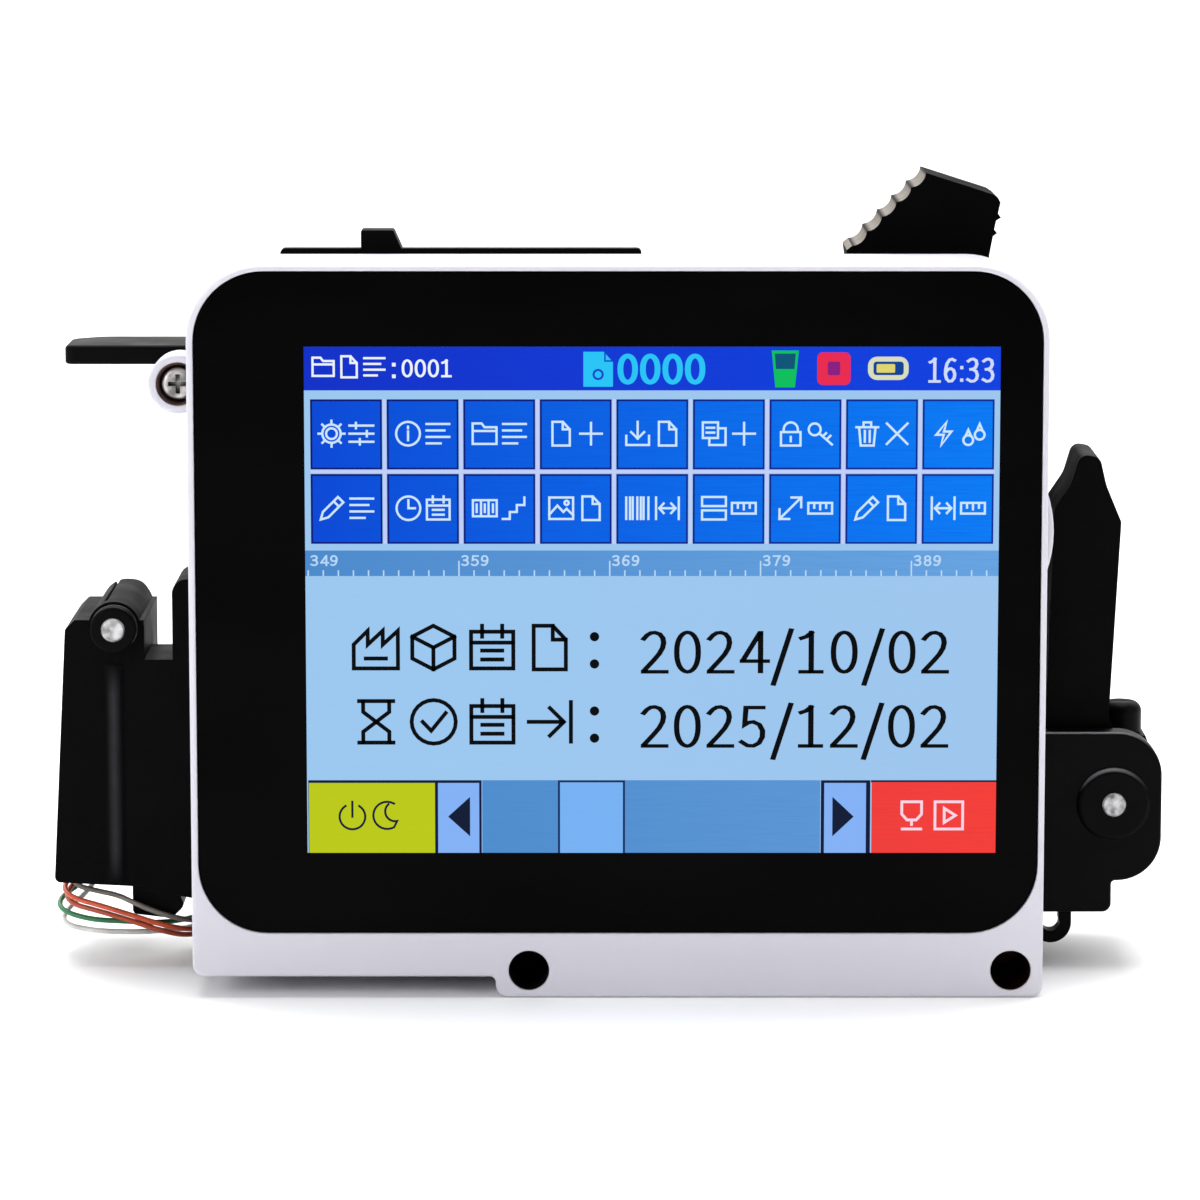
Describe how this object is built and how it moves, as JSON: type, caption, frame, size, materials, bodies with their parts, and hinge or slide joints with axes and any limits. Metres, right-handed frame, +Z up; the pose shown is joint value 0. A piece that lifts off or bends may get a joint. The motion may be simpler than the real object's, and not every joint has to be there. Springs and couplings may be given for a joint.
{
  "type": "date code inkjet printer",
  "caption": "Compact touch screen inkjet coder: white screen casing on a black cartridge box, with a sprung measuring arm on one side and a pivoting lever on the other.",
  "frame": {"origin": "middle of the base plate's underside in depth, under the middle of the screen casing's width, on the plane the printer stands on", "axes": "+X to the right as seen from the screen, +Y from the screen to the back, +Z up"},
  "size_m": [0.1872, 0.0982, 0.1338],
  "materials": {
    "casing_white": "fine moulded texture, satin",
    "screen_glass": "back-printed black, polished",
    "lcd_module": "display behind glass",
    "circuit_board": "solder mask",
    "black_abs": "fine spark texture",
    "black_satin": "satin moulded",
    "steel_plate": "brushed stainless",
    "steel_shaft": "ground",
    "screw_steel": "nickel plated",
    "spring_steel": "drawn wire",
    "gold_contact": "gold plated",
    "jack_metal": "plated",
    "battery_wrap": "heat-shrink wrap",
    "ink_shell": "moulded",
    "hub_grey": "moulded",
    "tyre_rubber": "ribbed rubber",
    "grommet_rubber": "soft rubber",
    "lead_red": "insulation",
    "lead_green": "insulation",
    "lead_white": "insulation",
    "button_red": "moulded"
  },
  "bodies": {
    "chassis": {"front_bezel": "casing_white", "touch_glass": "screen_glass", "lcd_panel": "lcd_module", "main_board": "circuit_board", "rear_shell": "casing_white", "casing_screws": "screw_steel", "engine_frame": "black_abs", "back_cover": "black_abs", "cover_screws": "screw_steel", "base_plate": "steel_plate", "base_screws": "screw_steel", "driver_board": "circuit_board", "usb_port": "jack_metal", "power_jack": "black_satin", "power_switch_body": "black_satin", "battery_contacts": "gold_contact", "cartridge_holder": "black_abs", "ink_cartridge": "ink_shell", "nozzle_plate": "gold_contact", "contact_board": "circuit_board", "contact_pins": "gold_contact", "latch_pin": "steel_shaft", "latch_spring": "spring_steel", "trigger_pin": "steel_shaft", "trigger_spring": "spring_steel", "trigger_switch": "black_satin", "arm_bracket": "black_abs", "arm_spring": "spring_steel", "lead_grommet": "grommet_rubber", "lever_bracket": "black_abs", "bracket_screws": "screw_steel", "lever_spring": "spring_steel", "cord_hook": "black_satin", "leads_red": "lead_red", "lead_green": "lead_green", "leads_white": "lead_white"},
    "battery": {"battery_case": "battery_wrap", "battery_cap": "black_abs", "battery_cells": "jack_metal"},
    "cartridge_latch": {"cartridge_latch": "black_abs"},
    "print_trigger": {"print_trigger": "black_satin"},
    "measuring_arm": {"encoder_arm": "black_abs", "arm_cover": "black_abs", "arm_cover_screws": "screw_steel", "arm_shaft": "steel_shaft", "shaft_collar": "black_satin", "shaft_washer": "steel_shaft", "arm_clip": "spring_steel", "wheel_bearings": "steel_shaft", "encoder_body": "black_satin", "sensor_board": "circuit_board", "lead_connector": "black_satin"},
    "measuring_wheel": {"wheel_axle": "steel_shaft", "wheel_hub": "hub_grey", "wheel_tyre": "tyre_rubber"},
    "clamp_lever": {"clamp_lever": "black_abs", "lever_shaft": "steel_shaft", "lever_clip": "spring_steel"},
    "tension_knob": {"tension_knob": "black_satin"},
    "power_button": {"power_button": "button_red"}
  },
  "joints": [
    {"name": "battery_slide", "type": "slide", "parent": "chassis", "child": "battery", "axis": [0, 0, 1], "range_m": [0, 0.072]},
    {"name": "latch_hinge", "type": "hinge", "parent": "chassis", "child": "cartridge_latch", "pos_m": [0.0645, -0.02, 0.1126], "axis": [0, 1, 0], "range_deg": [-17.5, 60], "stiffness_Nm_per_rad": 0.03},
    {"name": "trigger_press", "type": "hinge", "parent": "chassis", "child": "print_trigger", "pos_m": [-0.0636, -0.029, 0.1037], "axis": [0, -1, 0], "range_deg": [0, 6], "stiffness_Nm_per_rad": 0.05, "springref_deg": -11.46},
    {"name": "arm_swing", "type": "hinge", "parent": "chassis", "child": "measuring_arm", "pos_m": [-0.0842, -0.02, 0.0582], "axis": [0, -1, 0], "range_deg": [0, 4.5], "stiffness_Nm_per_rad": 0.12, "springref_deg": -22.92, "deforming": ["leads_red", "lead_green", "leads_white"]},
    {"name": "wheel_spin", "type": "hinge", "parent": "measuring_arm", "child": "measuring_wheel", "pos_m": [-0.058, -0.0287, 0.0114], "axis": [0, 1, 0], "continuous": true},
    {"name": "lever_swing", "type": "hinge", "parent": "chassis", "child": "clamp_lever", "pos_m": [0.0835, -0.024, 0.0282], "axis": [0, 1, 0], "range_deg": [0, 75], "stiffness_Nm_per_rad": 0.02, "springref_deg": -28.65},
    {"name": "knob_turn", "type": "hinge", "parent": "chassis", "child": "tension_knob", "pos_m": [0.0869, -0.0115, 0.038], "axis": [0, 0, 1], "continuous": true},
    {"name": "power_press", "type": "slide", "parent": "chassis", "child": "power_button", "axis": [0, -1, 0], "range_m": [0, 0.001], "stiffness_N_per_m": 400, "springref_m": -0.0015}
  ]
}
